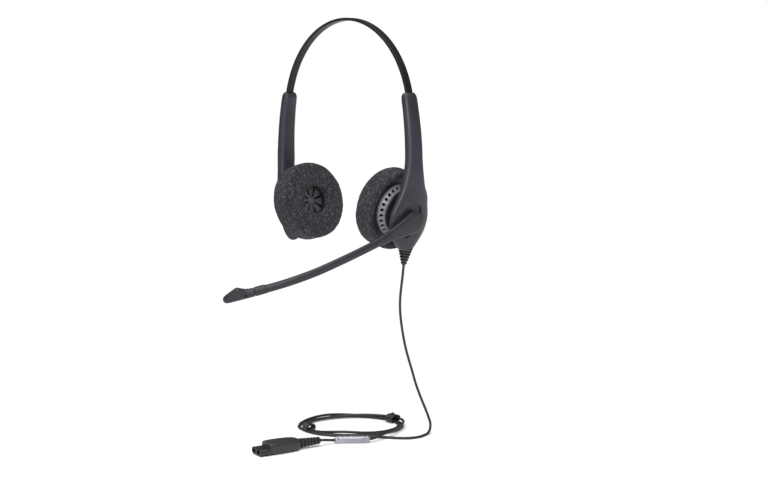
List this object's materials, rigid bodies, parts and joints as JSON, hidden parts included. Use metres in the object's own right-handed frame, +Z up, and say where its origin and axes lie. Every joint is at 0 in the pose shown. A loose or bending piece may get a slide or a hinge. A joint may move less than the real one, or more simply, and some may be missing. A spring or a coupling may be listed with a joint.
{
  "type": "office headset",
  "caption": "Two-ear office headset with sliding headband arms, foam ear cushions on ball mounts, a swinging microphone boom and a coiled quick-disconnect cord.",
  "frame": {"origin": "underside of the headband at its crown, where it rests on the head", "axes": "+X towards the boom side, which is the wearer's left, -Y to the front of the head, +Z up"},
  "size_m": [0.1572, 0.1945, 0.3238],
  "materials": {
    "arm_plastic": "fine-grained charcoal moulding",
    "band_plastic": "smooth satin black cover",
    "boom_plastic": "satin dark grey moulding",
    "plug_plastic": "fine-grained black moulding",
    "black_plastic": "satin black moulding",
    "grille_plastic": "matte dark grey moulding",
    "capsule_plastic": "satin mid grey moulding",
    "bush_plastic": "natural low-friction plastic",
    "cushion_foam": "open-cell dark grey foam",
    "mesh_cloth": "black acoustic cloth",
    "diaphragm_film": "thin translucent film",
    "cord_rubber": "satin black cable jacket",
    "label_film": "plain silvery sleeve",
    "spring_steel": "hardened strip",
    "screw_steel": "plated steel",
    "magnet_steel": "nickel-plated steel",
    "contact_brass": "plated contact",
    "circuit_board": "green solder mask"
  },
  "bodies": {
    "boom_arm": {"boom_side_arm_outer_shell": "arm_plastic", "boom_side_arm_inner_shell": "arm_plastic", "boom_side_arm_screw_1": "screw_steel", "boom_side_arm_screw_2": "screw_steel", "boom_side_ball_stud": "black_plastic", "terminal_board": "circuit_board", "cord_strain_relief": "cord_rubber", "cord_hanging": "cord_rubber", "cord_coil": "cord_rubber", "cord_tail": "cord_rubber", "cord_label": "label_film", "cord_tie_left": "black_plastic", "cord_tie_right": "black_plastic", "plug_strain_relief": "cord_rubber", "plug_lower_shell": "plug_plastic", "plug_upper_shell": "plug_plastic", "plug_contact_block": "black_plastic", "plug_contact_left": "contact_brass", "plug_contact_right": "contact_brass"},
    "headband": {"headband_cover": "band_plastic", "headband_spring": "spring_steel", "headband_speaker_lead": "cord_rubber", "boom_side_band_slider": "black_plastic", "plain_side_band_slider": "black_plastic"},
    "plain_arm": {"plain_side_arm_outer_shell": "arm_plastic", "plain_side_arm_inner_shell": "arm_plastic", "plain_side_arm_screw_1": "screw_steel", "plain_side_arm_screw_2": "screw_steel", "plain_side_ball_stud": "black_plastic"},
    "boom_side_swivel": {"boom_side_ball_bush": "bush_plastic"},
    "boom_side_cup": {"boom_side_speaker_back_shell": "capsule_plastic", "boom_side_ball_retainer": "black_plastic", "boom_side_speaker_rear_mesh": "mesh_cloth", "boom_side_driver_frame": "black_plastic", "boom_side_driver_magnet": "magnet_steel", "boom_side_driver_diaphragm": "diaphragm_film", "boom_side_speaker_front_mesh": "mesh_cloth", "boom_side_speaker_front_plate": "grille_plastic", "boom_side_ear_cushion": "cushion_foam"},
    "plain_side_swivel": {"plain_side_ball_bush": "bush_plastic"},
    "plain_side_cup": {"plain_side_speaker_back_shell": "capsule_plastic", "plain_side_ball_retainer": "black_plastic", "plain_side_speaker_rear_mesh": "mesh_cloth", "plain_side_driver_frame": "black_plastic", "plain_side_driver_magnet": "magnet_steel", "plain_side_driver_diaphragm": "diaphragm_film", "plain_side_speaker_front_mesh": "mesh_cloth", "plain_side_speaker_front_plate": "grille_plastic", "plain_side_ear_cushion": "cushion_foam"},
    "boom": {"boom_tube": "boom_plastic", "boom_collar": "black_plastic", "microphone_housing": "boom_plastic", "microphone_grille": "black_plastic", "microphone_capsule": "magnet_steel", "boom_retaining_washer": "screw_steel", "boom_pivot_screw": "screw_steel"}
  },
  "joints": [
    {"name": "boom_side_slide", "type": "slide", "parent": "boom_arm", "child": "headband", "axis": [-0.0872, 0, 0.9962], "range_m": [-0.008, 0.022]},
    {"name": "plain_side_slide", "type": "slide", "parent": "headband", "child": "plain_arm", "axis": [-0.0872, 0, -0.9962], "range_m": [-0.008, 0.022]},
    {"name": "boom_side_cup_swivel", "type": "hinge", "parent": "boom_arm", "child": "boom_side_swivel", "pos_m": [0.058, 0.0024, -0.14486], "axis": [0.2164, 0, 0.9763], "range_deg": [-10, 10]},
    {"name": "boom_side_cup_tilt", "type": "hinge", "parent": "boom_side_swivel", "child": "boom_side_cup", "pos_m": [0.058, 0.0024, -0.14486], "axis": [0, 1, 0], "range_deg": [-9, 9]},
    {"name": "plain_side_cup_swivel", "type": "hinge", "parent": "plain_arm", "child": "plain_side_swivel", "pos_m": [-0.058, 0.0024, -0.14486], "axis": [-0.2164, 0, 0.9763], "range_deg": [-10, 10]},
    {"name": "plain_side_cup_tilt", "type": "hinge", "parent": "plain_side_swivel", "child": "plain_side_cup", "pos_m": [-0.058, 0.0024, -0.14486], "axis": [0, 1, 0], "range_deg": [-9, 9]},
    {"name": "boom_swing", "type": "hinge", "parent": "boom_arm", "child": "boom", "pos_m": [0.06947, -0.0015, -0.15], "axis": [-0.9833, 0, 0.1822], "range_deg": [-20, 85]}
  ]
}
